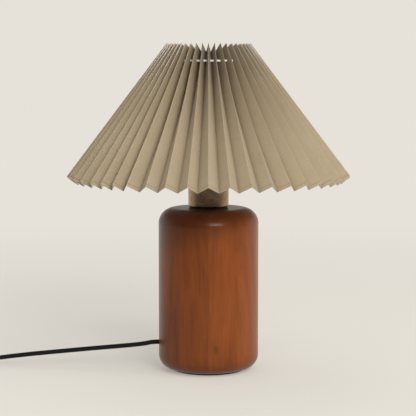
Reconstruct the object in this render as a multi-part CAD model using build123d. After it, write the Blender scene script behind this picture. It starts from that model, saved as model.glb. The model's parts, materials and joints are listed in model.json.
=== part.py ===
from build123d import *
from math import atan2, cos, hypot, pi, radians, sin, sqrt, tan
import os

os.makedirs("parts", exist_ok=True)

# A table lamp: a turned wooden base, a brushed metal cup that holds the lampholder, and a
# pleated paper shade on a wire frame. All sizes are in millimetres. The origin is the middle
# of the foot pad's underside, +Z is up, -Y is the front, and the cord leaves towards -X.

# ---------------------------------------------------------------- driving sizes: wooden base
base_diameter = 120.0
base_height = 194.0
base_top_round = 19.0
base_bottom_round = 16.5
foot_thickness = 2.0
foot_inset = 1.0
hollow_diameter = 60.0
hollow_depth = 72.0
plate_diameter = 76.0
plate_thickness = 2.0
plate_screw_diameter = 3.2
plate_screw_length = 15.0
plate_screw_head_diameter = 6.0
plate_screw_count = 3

# ---------------------------------------------------------------- driving sizes: rod and cup
rod_diameter = 10.0
rod_bore = 7.4
rod_tail = 12.0
rod_grip = 3.0
nut_across_flats = 17.0
nut_height = 5.0
washer_diameter = 24.0
washer_thickness = 1.5
cup_diameter = 49.0
cup_wall = 1.0
cup_floor = 1.2
cup_floor_round = 1.5
cup_rim_gap = 0.5
seat_thickness = 1.2
seat_inset = 1.6

# ---------------------------------------------------------------- driving sizes: lampholder
holder_diameter = 45.0
holder_height = 30.0
holder_wall = 2.5
holder_foot_gap = 1.4
holder_floor = 5.0
holder_taper = 7.0
holder_ledge = 2.0
holder_step_width = 6.0
holder_step_height = 6.0
skirt_thread_diameter = 39.5
skirt_wall = 2.75
skirt_insert = 6.0
collar_height = 6.0
thread_length = 21.0
insulator_thickness = 4.0
socket_depth = 26.0
socket_wall = 0.7
socket_flange = 1.4
tongue_width = 6.0
tongue_thickness = 0.6
tongue_rise = 2.0
tongue_inset = 3.0
tongue_offset = 1.5

# ---------------------------------------------------------------- driving sizes: shade ring
shade_ring_diameter = 53.0
shade_ring_height = 6.0
shade_ring_grips = 24
shade_ring_grip_radius = 0.8
ring_washer_diameter = 48.0
ring_washer_thickness = 0.8

# ---------------------------------------------------------------- driving sizes: wire frame
wire_diameter = 3.0
fitter_hole_play = 0.4
fitter_diameter = 60.0
fitter_thickness = 2.0
arm_count = 3
rib_count = 6
top_ring_drop = 23.5

# ---------------------------------------------------------------- driving sizes: pleated shade
pleat_count = 44
pleat_width = 17.1
paper_thickness = 0.5
shade_bottom_radius = 169.5
shade_top_radius = 50.3
shade_height = 157.5
shade_rim_drop = 9.2
drawcord_diameter = 3.0
drawcord_drop = 20.5
drawcord_inset = 11.8
drawcord_punch = 3.2

# ---------------------------------------------------------------- driving sizes: bulb
bulb_diameter = 60.0
bulb_length = 108.0
bulb_wall = 1.5
bulb_collar_diameter = 53.0
bulb_neck_diameter = 29.0
cap_diameter = 26.4
cap_length = 21.5
cap_thread_depth = 0.7
cap_thread_pitch = 3.63
cap_contact_diameter = 10.0
cap_contact_height = 2.2
cap_taper = 3.0
cap_plain_foot = 4.0
cap_plain_top = 1.0
collar_straight_share = 0.12
collar_flare_out = 0.45
collar_flare_up = 0.55

# ---------------------------------------------------------------- driving sizes: cord
cord_diameter = 5.5
cord_length = 1800.0
cord_exit_height = 32.5
bushing_diameter = 9.0
bushing_length = 26.0
wire_core_diameter = 2.0
core_overrun = 1.5
core_straight = 2.0
core_bend = 1.0
core_inset = 5.0
lead_bend_share = 0.85
cord_slack = 0.15
coil_turns = 6.23
coil_columns = 3
coil_layers = 3
coil_lift = 1.0
coil_tie_angle = -60.0
tie_width = 9.0
tie_thickness = 0.9

# ---------------------------------------------------------------- driving sizes: cord switch
switch_length = 60.0
switch_width = 26.0
switch_height = 18.0
switch_wall = 1.8
switch_corner = 9.0
switch_edge_round = 2.0
switch_cord_height = 6.0
switch_screw_diameter = 3.0
switch_screw_head = 1.6
switch_screw_inset = 0.2
switch_screw_slot = 0.8
switch_screw_slot_depth = 0.6
switch_screw_roof = 1.0
switch_boss_diameter = 6.4
switch_screw_place = (20.0, 6.5)
rocker_length = 19.0
rocker_width = 11.4
rocker_rise = 1.8
rocker_dip = 1.4
rocker_pivot_depth = 4.5
rocker_pin_diameter = 2.4
rocker_tilt = 9.0
rocker_skirt = 2.5
rocker_belly = 4.0
rocker_belly_inset = 3.0
cheek_thickness = 1.8
relief_length = 20.0
relief_root_diameter = 9.6
relief_tip_diameter = 7.4
contact_length = 14.0
contact_width = 4.0
contact_height = 3.5
contact_sheet = 1.0

# ---------------------------------------------------------------- driving sizes: plug
plug_length = 33.0
plug_width = 35.3
plug_thickness = 13.7
plug_tail_width = 19.0
plug_shoulder = 14.0
plug_round = 2.5
plug_pin_diameter = 4.0
plug_pin_length = 19.0
plug_pin_spacing = 18.6
plug_pin_root = 6.0
plug_pin_chamfer = 0.8

# ---------------------------------------------------------------- clearances
face_gap = 0.2
running_gap = 0.08
thread_gap = 0.05
bulb_gap = 0.3
frame_gap = 0.5
drawcord_gap = 0.3
rocker_gap = 0.35
wood_bore_gap = 0.3
core_gap = 0.1
screw_end_gap = 0.5
cord_floor_gap = 0.15

# ---------------------------------------------------------------- places that follow from them
cord_radius = cord_diameter / 2
wire_radius = wire_diameter / 2
base_radius = base_diameter / 2

wood_bottom = foot_thickness
wood_top = wood_bottom + base_height
hollow_top = wood_bottom + hollow_depth
rod_bottom = hollow_top - rod_tail
cup_bottom = wood_top + seat_thickness
cup_nut_bottom = cup_bottom + cup_floor + washer_thickness
holder_bottom = cup_nut_bottom + nut_height + holder_foot_gap
holder_top = holder_bottom + holder_height
rod_top = holder_bottom + holder_floor + rod_grip
collar_top = holder_top + collar_height
skirt_bottom = holder_top - skirt_insert
skirt_top = collar_top + thread_length
insulator_bottom = skirt_bottom - insulator_thickness

fitter_bottom = collar_top + face_gap
fitter_top = fitter_bottom + fitter_thickness
spider_height = (fitter_bottom + fitter_top) / 2
ring_washer_bottom = fitter_top + face_gap
shade_ring_bottom = ring_washer_bottom + ring_washer_thickness + face_gap

shade_bottom = spider_height - shade_rim_drop
shade_top = shade_bottom + shade_height
drawcord_height = shade_top - drawcord_drop
top_ring_height = shade_top - top_ring_drop

contact_bottom = skirt_bottom + tongue_rise + bulb_gap
cap_bottom = contact_bottom + cap_contact_height
cap_top = cap_bottom + cap_length
bulb_top = contact_bottom + bulb_length


# ---------------------------------------------------------------- helpers
def ring(outer_radius, inner_radius, bottom, height):
    """A flat ring or a tube that stands on the lamp's axis."""
    outer = Cylinder(outer_radius, height, align=(Align.CENTER, Align.CENTER, Align.MIN))
    inner = Cylinder(inner_radius, height, align=(Align.CENTER, Align.CENTER, Align.MIN))
    return Pos(0, 0, bottom) * (outer - inner)


def disc(radius, bottom, height):
    """A round plate or pin that stands on the lamp's axis."""
    return Pos(0, 0, bottom) * Cylinder(radius, height, align=(Align.CENTER, Align.CENTER, Align.MIN))


def turned(*points):
    """A solid turned about the lamp's axis from an outline of (radius, height) points."""
    outline = Polyline(*[(radius, 0, height) for radius, height in points], close=True)
    return revolve(make_face(outline), Axis.Z)


def hex_nut(bottom):
    """A thin nut for the lamp rod."""
    body = extrude(RegularPolygon(nut_across_flats / 2, 6, major_radius=False), nut_height)
    return Pos(0, 0, bottom) * body - disc(rod_diameter / 2 + thread_gap, bottom, nut_height)


def wire(start, end):
    """A straight piece of round wire between two points."""
    path = Line(start, end)
    return sweep(Plane(origin=path @ 0, z_dir=path % 0) * Circle(wire_radius), path)


def around(angle, radius, height):
    """A point at an angle, in degrees from +X, on a circle about the lamp's axis."""
    return Vector(radius * cos(radians(angle)), radius * sin(radians(angle)), height)


def save(node, *solids):
    """Write one node, as one solid or a group of equal ones."""
    shape = solids[0] if len(solids) == 1 else Compound(children=list(solids))
    export_step(shape, f"parts/{node}.step")


# ---------------------------------------------------------------- wooden base and foot
def wooden_base():
    """One turned block: rounded at both ends, hollow below, bored for the rod and the cord."""
    low, high = wood_bottom, wood_top
    block = disc(base_radius, low, base_height)
    block = fillet(block.edges().group_by(Axis.Z)[-1], base_top_round)
    block = fillet(block.edges().group_by(Axis.Z)[0], base_bottom_round)
    block -= disc(hollow_diameter / 2, low, hollow_depth)
    block -= disc(plate_diameter / 2 + face_gap, low, plate_thickness)
    block -= disc(rod_diameter / 2 + wood_bore_gap, low, high - low)
    for place in plate_screw_places():
        block -= Pos(place.X, place.Y, low) * Cylinder(
            plate_screw_diameter / 2, plate_screw_length + plate_thickness,
            align=(Align.CENTER, Align.CENTER, Align.MIN))
    return block - level_pin(bushing_diameter / 2, -base_radius, base_radius)


def level_pin(radius, start_x, length):
    """A round pin, or the drill for a hole, along +X at the cord's height."""
    return Pos(start_x, 0, cord_exit_height) * Rot(0, 90, 0) * Cylinder(
        radius, length, align=(Align.CENTER, Align.CENTER, Align.MIN))


def foot_pad():
    """The thin black pad that the lamp stands on."""
    return disc(base_radius - base_bottom_round - foot_inset, 0, foot_thickness)


def plate_screw_places():
    """The screws' places, in the rim of the base plate outside the hollow."""
    pitch_radius = (plate_diameter + hollow_diameter) / 4
    return [around(90 + 360 / plate_screw_count * step, pitch_radius, 0)
            for step in range(plate_screw_count)]


def base_plate():
    """The steel plate that closes the hollow, countersunk for its screws."""
    plate = disc(plate_diameter / 2, wood_bottom, plate_thickness)
    for place in plate_screw_places():
        plate -= Pos(place.X, place.Y, 0) * plate_screw(running_gap)
    return plate


def plate_screw(grow=0.0):
    """One countersunk wood screw, head down, or the hole for it when it is grown."""
    shank = plate_screw_diameter / 2 + grow
    head = plate_screw_head_diameter / 2 + grow
    slope_height = head - shank
    low = wood_bottom
    outline = [(0, low), (head, low), (shank, low + slope_height)]
    outline += [(shank, low + plate_screw_length), (0, low + plate_screw_length)]
    return turned(*outline)


# ---------------------------------------------------------------- rod, cup and lampholder
def lamp_rod():
    """The hollow threaded rod that ties base, cup and lampholder together."""
    return ring(rod_diameter / 2, rod_bore / 2, rod_bottom, rod_top - rod_bottom)


def flat_washer(bottom):
    """A washer on the rod."""
    return ring(washer_diameter / 2, rod_diameter / 2 + thread_gap, bottom, washer_thickness)


def neck_cup():
    """The brushed cup that shows as the lamp's neck: a drawn tube with a floor."""
    height = collar_top - cup_rim_gap - cup_bottom
    cup = disc(cup_diameter / 2, cup_bottom, height)
    cup = fillet(cup.edges().group_by(Axis.Z)[0], cup_floor_round)
    cup -= disc(cup_diameter / 2 - cup_wall, cup_bottom + cup_floor, height)
    return cup - disc(rod_diameter / 2 + thread_gap, cup_bottom, height)


def holder_body():
    """The lampholder's lower half: a moulded cup, screwed onto the rod."""
    outer = holder_diameter / 2
    cavity = outer - holder_wall
    body = disc(outer, holder_bottom, holder_height)
    body = chamfer(body.edges().group_by(Axis.Z)[0], holder_taper)
    body -= disc(cavity - holder_step_width, holder_bottom + holder_floor, holder_height)
    step_top = holder_bottom + holder_floor + holder_step_height
    body -= disc(cavity - holder_ledge, step_top, holder_height)
    body -= disc(cavity, insulator_bottom, holder_height)
    return body - disc(rod_diameter / 2 + thread_gap, holder_bottom, holder_height)


def holder_skirt():
    """The lampholder's upper half: a threaded sleeve with the collar that carries the shade."""
    outer = skirt_thread_diameter / 2
    skirt = ring(outer, outer - skirt_wall, skirt_bottom, skirt_top - skirt_bottom)
    return skirt + ring(holder_diameter / 2, outer - skirt_wall, holder_top, collar_height)


def holder_insulator():
    """The ceramic disc that carries the lampholder's contacts."""
    plate = disc(skirt_thread_diameter / 2, insulator_bottom, insulator_thickness)
    for side in (-1, 1):
        plate -= Pos(side * core_spread, 0, 0) * disc(wire_core_diameter / 2 + thread_gap,
                                                      insulator_bottom, insulator_thickness)
    return plate


def holder_shell():
    """The metal screw shell that the bulb's cap turns in."""
    inner = cap_diameter / 2 + bulb_gap
    outer = inner + socket_wall
    shell = ring(outer, inner, skirt_bottom, socket_depth)
    return shell + ring(outer + socket_flange, inner, skirt_bottom, socket_wall)


def holder_tongue():
    """The springy centre contact under the bulb."""
    reach = cap_diameter / 2 - tongue_inset
    foot = Pos(reach / 2 + tongue_offset, 0, 0) * Box(
        reach / 2, tongue_width, tongue_thickness, align=(Align.CENTER, Align.CENTER, Align.MIN))
    riser = Pos(reach / 4 + tongue_offset, 0, 0) * Box(
        tongue_thickness, tongue_width, tongue_rise, align=(Align.CENTER, Align.CENTER, Align.MIN))
    blade = Pos(0, 0, tongue_rise) * Box(
        reach / 2 + 2 * tongue_offset + tongue_thickness, tongue_width, tongue_thickness,
        align=(Align.CENTER, Align.CENTER, Align.MAX))
    return Pos(0, 0, skirt_bottom) * (foot + riser + blade)


# ---------------------------------------------------------------- shade ring and its washer
def shade_ring():
    """The hand-turned ring that clamps the shade's fitter, with finger grips round its rim."""
    inner = skirt_thread_diameter / 2 + running_gap
    outer = shade_ring_diameter / 2
    body = ring(outer, inner, shade_ring_bottom, shade_ring_height)
    for step in range(shade_ring_grips):
        place = around(360 / shade_ring_grips * step, outer, 0)
        body -= Pos(place.X, place.Y, 0) * disc(shade_ring_grip_radius, shade_ring_bottom,
                                                shade_ring_height)
    return body


def ring_washer():
    """The thin washer between the ring and the fitter, which rises with the ring."""
    inner = skirt_thread_diameter / 2 + running_gap
    return ring(ring_washer_diameter / 2, inner, ring_washer_bottom, ring_washer_thickness)


# ---------------------------------------------------------------- pleated shade
# The paper is a zigzag of equal strips round a cone. Its outer folds are the ridges. The inner
# folds, the valleys, lie deeper at the top, where the strips stand closer together.
cone_slope = atan2(shade_bottom_radius - shade_top_radius, shade_height)


def pleat_depth(radius):
    """How deep the zigzag is where the ridges stand at this radius."""
    return sqrt(pleat_width ** 2 - (pi * radius / pleat_count) ** 2)


def skin_shift(radius):
    """How far the paper's inner side lies below its outer side along a fold."""
    return paper_thickness * pleat_width / (pi * radius / pleat_count)


def below(radius, height, depth):
    """A (radius, height) point moved square to the cone, towards the inside."""
    return radius - depth * cos(cone_slope), height - depth * sin(cone_slope)


def fold_ends(inside, valley):
    """The lower and the upper end of one kind of fold, as (radius, height)."""
    ends = []
    for radius, height in ((shade_bottom_radius, shade_bottom), (shade_top_radius, shade_top)):
        depth = (pleat_depth(radius) if valley else 0) + (skin_shift(radius) if inside else 0)
        ends.append(below(radius, height, depth))
    return ends


def strip(first, second, third, fourth):
    """A twisted four-sided face, ruled between its two long edges."""
    return Face.make_surface_from_curves(Edge.make_line(first, fourth), Edge.make_line(second, third))


def pleated_shade():
    """The folded paper sheet, closed at its back seam, with the drawcord's holes punched."""
    rows = []
    for step in range(2 * pleat_count):
        angle = -90 + 180 / pleat_count * step
        valley = step % 2 == 1
        outer = [around(angle, *end) for end in fold_ends(False, valley)]
        inner = [around(angle, *end) for end in fold_ends(True, valley)]
        rows.append((outer[0], outer[1], inner[1], inner[0]))
    skins = []
    for corner in (1, 2, 3, 0):
        other = (corner + 1) % 4
        for here, after in zip(rows, rows[1:] + rows[:1]):
            skins.append(strip(here[corner], after[corner], after[other], here[other]))
    return Solid(Shell(skins)) - drawcord_holes()


def drawcord_radius():
    """The drawcord runs between the ridges and the valleys at its height."""
    return shade_top_radius + drawcord_drop * tan(cone_slope) - drawcord_inset


def drawcord_holes():
    """The short punches, one through each strip, that the drawcord passes through."""
    radius = drawcord_radius()
    crossings = []
    for inside in (False, True):
        folds = []
        for valley in (False, True):
            (low_radius, low_height), (top_radius, top_height) = fold_ends(inside, valley)
            share = (drawcord_height - low_height) / (top_height - low_height)
            folds.append(low_radius + share * (top_radius - low_radius))
        crossings.append((folds[0] - radius) / (folds[0] - folds[1]))
    turn = 180 / pleat_count * sum(crossings) / 2
    punches = []
    for step in range(pleat_count):
        for side in (-1, 1):
            angle = -90 + 360 / pleat_count * step + side * turn
            place = Pos(around(angle, radius, drawcord_height)) * Rot(0, 0, angle) * Rot(90, 0, 0)
            punches.append(place * Cylinder(drawcord_diameter / 2 + drawcord_gap, drawcord_punch))
    return punches


def drawcord():
    """The white cord threaded through the pleats near the top."""
    return Pos(0, 0, drawcord_height) * Torus(drawcord_radius(), drawcord_diameter / 2)


# ---------------------------------------------------------------- wire frame
def frame_radius(height):
    """The frame's centre line, which runs just inside the valleys of the paper."""
    (low_radius, low_height), (top_radius, top_height) = fold_ends(True, True)
    fall = (low_radius - top_radius) / (top_height - low_height)
    stand_off = (wire_radius + frame_gap) * hypot(1, fall)
    return low_radius - fall * (height - low_height) - stand_off


def frame_hoop(height):
    """A round wire hoop of the frame."""
    return Pos(0, 0, height) * Torus(frame_radius(height), wire_radius)


def frame_arm(step):
    """A spoke from the fitter to the lower hoop."""
    start = around(0, shade_ring_diameter / 2 + face_gap, spider_height)
    end = around(0, frame_radius(spider_height), spider_height)
    spoke = wire(start, end) - frame_hoop(spider_height)
    return Rot(0, 0, 90 + 360 / arm_count * step) * spoke


def frame_rib(step):
    """A sloping wire from the lower hoop to the upper one."""
    start = around(0, frame_radius(spider_height), spider_height)
    end = around(0, frame_radius(top_ring_height), top_ring_height)
    rib = wire(start, end) - frame_hoop(spider_height) - frame_hoop(top_ring_height)
    return Rot(0, 0, 360 / rib_count * step) * rib


def frame_fitter():
    """The ring plate on the lampholder's collar, notched for the spokes welded into it."""
    inner = skirt_thread_diameter / 2 + fitter_hole_play
    plate = ring(fitter_diameter / 2, inner, fitter_bottom, fitter_thickness)
    for step in range(arm_count):
        plate -= frame_arm(step)
    return plate


# ---------------------------------------------------------------- bulb
def bulb_contact():
    """The bulb's end contact."""
    return disc(cap_contact_diameter / 2, contact_bottom, cap_contact_height)


def bulb_cap():
    """The screw cap, with the rounded waves of its thread drawn as plain rings."""
    crest = cap_diameter / 2
    cap = disc(crest, cap_bottom, cap_length)
    cap = chamfer(cap.edges().group_by(Axis.Z)[0], cap_taper)
    waves = int((cap_length - cap_plain_foot - cap_plain_top) / cap_thread_pitch)
    for step in range(waves):
        height = cap_bottom + cap_plain_foot + cap_thread_pitch * (step + 0.5)
        cap -= Pos(0, 0, height) * Torus(crest + cap_thread_depth, 2 * cap_thread_depth)
    return cap


def bulb_centre():
    """The height of the middle of the round top."""
    return bulb_top - bulb_diameter / 2


def bulb_seam_height():
    """Where the round top meets the plastic collar below it."""
    return bulb_centre() - sqrt((bulb_diameter / 2) ** 2 - (bulb_collar_diameter / 2) ** 2)


def bulb_collar():
    """The white plastic body between the cap and the round top."""
    neck, wide = bulb_neck_diameter / 2, bulb_collar_diameter / 2
    low, high = cap_top, bulb_seam_height()
    rise = high - low
    straight_top = low + collar_straight_share * rise
    middle = (neck + collar_flare_out * (wide - neck), 0, low + collar_flare_up * rise)
    flare = Spline((neck, 0, straight_top), middle, (wide, 0, high))
    sides = Polyline((wide, 0, high), (0, 0, high), (0, 0, low), (neck, 0, low), (neck, 0, straight_top))
    return revolve(make_face(flare + sides), Axis.Z)


def bulb_globe():
    """The opal top of the bulb, a thin dome."""
    radius = bulb_diameter / 2
    dome = Sphere(radius) - Sphere(radius - bulb_wall)
    cut = bulb_seam_height() - bulb_centre()
    dome -= Pos(0, 0, cut) * Cylinder(radius, bulb_diameter, align=(Align.CENTER, Align.CENTER, Align.MAX))
    return Pos(0, 0, bulb_centre()) * dome


# ---------------------------------------------------------------- cord inside the lamp
core_spread = cap_diameter / 2 - core_inset
core_start = rod_top + core_overrun


def cord_bushing():
    """The sleeve that guards the cord where it leaves the wood, flush with the outside."""
    outer_x = -sqrt(base_radius ** 2 - (bushing_diameter / 2) ** 2)
    sleeve = level_pin(bushing_diameter / 2, outer_x, bushing_length)
    return sleeve - level_pin(cord_radius + thread_gap, outer_x, bushing_length)


def inner_lead():
    """The cord from the bushing through the hollow and up inside the rod."""
    start = (-base_radius, 0, cord_exit_height)
    bend = (rod_bottom - cord_exit_height) * lead_bend_share
    path = FilletPolyline(start, (0, 0, cord_exit_height), (0, 0, core_start), radius=bend)
    return sweep(Plane(origin=path @ 0, z_dir=path % 0) * Circle(cord_radius), path)


def lead_core(side):
    """One of the two insulated cores, from the sheath's end to its terminal."""
    low, high = core_start, insulator_bottom + insulator_thickness
    near = side * (wire_core_diameter / 2 + core_gap)
    far = side * core_spread
    knee = (low + insulator_bottom) / 2 + core_straight + core_bend / 2
    path = FilletPolyline((near, 0, low), (near, 0, low + core_straight), (far, 0, knee), (far, 0, high),
                          radius=core_bend)
    return sweep(Plane(origin=path @ 0, z_dir=path % 0) * Circle(wire_core_diameter / 2), path)


# ---------------------------------------------------------------- cord outside the lamp
# The cord leaves the base level, slopes down through the air as a stiff new cord does, lands
# left of the lamp, and goes through its switch. The rest lies coiled, with the plug beside it.
lie = cord_radius + cord_floor_gap
switch_y = 14.0
switch_start_x = -384.0
switch_end_x = switch_start_x - switch_length
plug_axis = plug_thickness / 2
plug_y = 140.0
plug_start_x = -398.0
coil_x = -470.0
coil_y = 104.0

lead_route = [
    (-base_radius, 0, cord_exit_height),
    (-base_radius - 8, 0, cord_exit_height),
    (-78, 0.9, 30.0),
    (-98, 3.6, 27.4),
    (-136, 8.2, 23.4),
    (-181, 13.4, 18.3),
    (-226, 18.3, 13.1),
    (-265, 23.4, 7.3),
    (-297, 23.0, lie + 0.3),
    (-322, 17.2, lie),
    (-345, switch_y, switch_cord_height),
    (switch_start_x + relief_length, switch_y, switch_cord_height),
]
tail_route = [
    (switch_end_x - relief_length, switch_y, switch_cord_height),
    (switch_end_x - relief_length - 16, switch_y, switch_cord_height),
    (-500, 20.0, lie + 0.4),
    (-514, 38.0, lie),
    (-513, 62.0, lie),
    (-508, 80.0, lie + 0.5),
    (-506.5, 97.0, lie + coil_lift),
]
plug_route = [
    (-478, 140.7, lie + coil_lift),
    (-462, 142.6, lie + 0.4),
    (-446, 141.5, 4.9),
    (-432, plug_y, plug_axis),
    (plug_start_x - relief_length, plug_y, plug_axis),
]


def cord_tube(name, route):
    """A round cord through its points: straight runs joined by tangent arcs."""
    points = [Vector(*point) for point in route]
    radii = []
    for before, here, after in zip(points, points[1:], points[2:]):
        turn = (here - before).get_angle(after - here)
        shorter = min((here - before).length, (after - here).length)
        radii.append(0.45 * shorter / tan(radians(turn) / 2))
    path = FilletPolyline(*points, radius=radii)
    tube = sweep(Plane(origin=path @ 0, z_dir=path % 0) * Circle(cord_radius), path)
    expected = pi * cord_radius ** 2 * path.length
    print(name, "length", round(path.length, 1), "volume ratio", round(tube.volume / expected, 4),
          "radii", [round(radius) for radius in radii])
    return tube, path.length


lead, lead_length = cord_tube("lead", lead_route)
tail, tail_length = cord_tube("tail", tail_route)
plug_end, plug_end_length = cord_tube("plug end", plug_route)
coil_length = cord_length - lead_length - tail_length - plug_end_length - switch_length - 2 * relief_length
coil_mid_radius = coil_length / (2 * pi * coil_turns)
print("coil holds", round(coil_length), "mm on a middle radius of", round(coil_mid_radius, 2))


def coil_half_width():
    """Half the width of the coil's section: its columns of turns, side by side."""
    return coil_columns * cord_diameter / 2 + cord_slack


def coil_height():
    """The coil's height: its layers nest into each other."""
    return cord_diameter + (coil_layers - 1) * cord_diameter * sqrt(3) / 2 + cord_slack


def cord_coil():
    """The outer shape of the wound-up cord, notched where the tie goes round it."""
    half = coil_half_width()
    body = ring(coil_mid_radius + half, coil_mid_radius - half, coil_lift, coil_height())
    body = chamfer(body.edges(), cord_radius)
    return Pos(coil_x, coil_y, 0) * body - coil_tie()


def coil_tie():
    """The soft strap round one place of the coil."""
    half = coil_half_width()
    outer = Box(2 * (half + tie_thickness), tie_width, coil_height() + coil_lift + tie_thickness,
                align=(Align.CENTER, Align.CENTER, Align.MIN))
    hole = Pos(0, 0, coil_lift) * Box(2 * half, tie_width, coil_height(),
                                      align=(Align.CENTER, Align.CENTER, Align.MIN))
    outer = fillet(outer.edges().filter_by(Axis.Y), cord_radius)
    hole = fillet(hole.edges().filter_by(Axis.Y), cord_radius - tie_thickness)
    place = Pos(coil_x, coil_y, 0) * Rot(0, 0, coil_tie_angle) * Pos(coil_mid_radius, 0, 0)
    return place * (outer - hole)


def relief(outer_x, toward, y, height):
    """A tapered strain relief moulded on the cord, thick at the housing."""
    body = Cone(relief_root_diameter / 2, relief_tip_diameter / 2, relief_length,
                align=(Align.CENTER, Align.CENTER, Align.MIN))
    return Pos(outer_x, y, height) * Rot(0, 90 * toward, 0) * body


# ---------------------------------------------------------------- cord switch
switch_middle = (switch_start_x + switch_end_x) / 2
switch_place = Pos(switch_middle, switch_y, 0)
switch_split = switch_height / 2
pivot_height = switch_height - rocker_pivot_depth


def switch_block(low, high, inset):
    """A stadium-like block of the switch's outline."""
    outline = RectangleRounded(switch_length - 2 * inset, switch_width - 2 * inset,
                               switch_corner - inset)
    return Pos(0, 0, low) * extrude(outline, high - low)


def screw_places():
    """The two screws stand at opposite corners, clear of the cord."""
    along, across = switch_screw_place
    return [Pos(along, across, 0), Pos(-along, -across, 0)]


def switch_lower_shell():
    """The lower half of the switch housing, with the screws' tubes."""
    body = switch_block(0, switch_split, 0)
    body = fillet(body.edges().group_by(Axis.Z)[0], switch_edge_round)
    body -= switch_block(switch_wall, switch_split, switch_wall)
    for place in screw_places():
        body += place * disc(switch_boss_diameter / 2, switch_wall, switch_split - switch_wall)
        body -= place * disc(switch_screw_diameter / 2 + running_gap, 0, switch_split)
        body -= place * disc(switch_screw_diameter + running_gap, 0, switch_screw_head)
    return switch_place * body


def switch_upper_shell():
    """The upper half, with the rocker's window and the cheeks that hold its pivot."""
    ceiling = switch_height - switch_wall
    body = switch_block(switch_split, switch_height, 0)
    body = fillet(body.edges().group_by(Axis.Z)[-1], switch_edge_round)
    body -= switch_block(switch_split, ceiling, switch_wall)
    for place in screw_places():
        body += place * disc(switch_boss_diameter / 2, switch_split, ceiling - switch_split)
        body -= place * disc(switch_screw_diameter / 2, switch_split, ceiling - switch_split - switch_screw_roof)
    cheek_y = rocker_width / 2 + rocker_gap + cheek_thickness / 2
    for side in (-1, 1):
        body += Pos(0, side * cheek_y, ceiling) * Box(
            rocker_length / 2, cheek_thickness, ceiling - switch_split,
            align=(Align.CENTER, Align.CENTER, Align.MAX))
    body -= Pos(0, 0, pivot_height) * Rot(90, 0, 0) * Cylinder(
        rocker_pin_diameter / 2 + thread_gap, 2 * cheek_y + 2 * cheek_thickness)
    window = Box(rocker_window(), rocker_width + 2 * rocker_gap, switch_height)
    return switch_place * (body - Pos(0, 0, switch_height) * window)


def rocker_window():
    """The window's length, which clears the rocker's ends through its whole tilt."""
    reach = hypot(rocker_length / 2, rocker_pivot_depth + rocker_rise)
    return 2 * (min(reach, rocker_length / 2 * cos(radians(rocker_tilt))
                    + (rocker_pivot_depth + rocker_rise) * sin(radians(rocker_tilt))) + rocker_gap)


def switch_rocker():
    """The rocker in its off position, with its two pivot pins."""
    half = rocker_length / 2
    belly = half - rocker_belly_inset
    outline = [(-half, -rocker_skirt), (-belly, -rocker_belly)]
    outline += [(belly, -rocker_belly), (half, -rocker_skirt)]
    outline += [(half, rocker_pivot_depth + rocker_rise)]
    outline += [(0, rocker_pivot_depth + rocker_rise - rocker_dip)]
    outline += [(-half, rocker_pivot_depth + rocker_rise)]
    face = make_face(Polyline(*[(x, 0, z) for x, z in outline], close=True))
    body = extrude(face, rocker_width / 2, dir=(0, 1, 0), both=True)
    pins = Rot(90, 0, 0) * Cylinder(rocker_pin_diameter / 2,
                                    rocker_width + 2 * (rocker_gap + cheek_thickness))
    return switch_place * Pos(0, 0, pivot_height) * Rot(0, rocker_tilt, 0) * (body + pins)


def switch_screw():
    """A cheese-head screw that holds the switch's halves together, head down."""
    end = switch_height - switch_wall - switch_screw_roof - screw_end_gap
    head = disc(switch_screw_diameter, switch_screw_inset, switch_screw_head - switch_screw_inset)
    head -= Pos(0, 0, switch_screw_inset) * Box(2 * switch_screw_diameter, switch_screw_slot,
                                                2 * switch_screw_slot_depth)
    return head + disc(switch_screw_diameter / 2, switch_screw_head, end - switch_screw_head)


def switch_contact(side):
    """A brass contact strip standing on the switch's floor under one end of the rocker."""
    foot = Box(contact_length, contact_width, contact_sheet, align=(Align.CENTER, Align.CENTER, Align.MIN))
    post = Pos(side * (contact_length / 2 - contact_sheet), 0, 0) * Box(
        contact_sheet, contact_width, contact_height, align=(Align.CENTER, Align.CENTER, Align.MIN))
    return switch_place * Pos(side * (contact_length / 2 + contact_sheet), 0, switch_wall) * (foot + post)


# ---------------------------------------------------------------- plug
plug_place = Pos(plug_start_x, plug_y, plug_axis)


def plug_body():
    """The flat two-pin plug's moulded body, wide at the pins and narrow at the cord."""
    half, tail = plug_width / 2, plug_tail_width / 2
    outline = [(0, -tail), (plug_shoulder, -half), (plug_length, -half)]
    outline += [(plug_length, half), (plug_shoulder, half), (0, tail)]
    face = make_face(Polyline(*outline, close=True))
    body = extrude(face, plug_thickness / 2, both=True)
    body = fillet(body.edges().filter_by(Axis.Z), plug_round)
    body = fillet(body.edges().group_by(Axis.Z)[-1] + body.edges().group_by(Axis.Z)[0], plug_round)
    for side in (-1, 1):
        body -= plug_pin_shape(side, thread_gap)
    return plug_place * body


def plug_pin_shape(side, grow=0.0):
    """One round pin along +X, rooted inside the body."""
    pin = Cylinder(plug_pin_diameter / 2 + grow, plug_pin_root + plug_pin_length,
                   align=(Align.CENTER, Align.CENTER, Align.MIN))
    if not grow:
        pin = chamfer(pin.edges().group_by(Axis.Z)[-1], plug_pin_chamfer)
    return Pos(plug_length - plug_pin_root, side * plug_pin_spacing / 2, 0) * Rot(0, 90, 0) * pin


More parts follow.
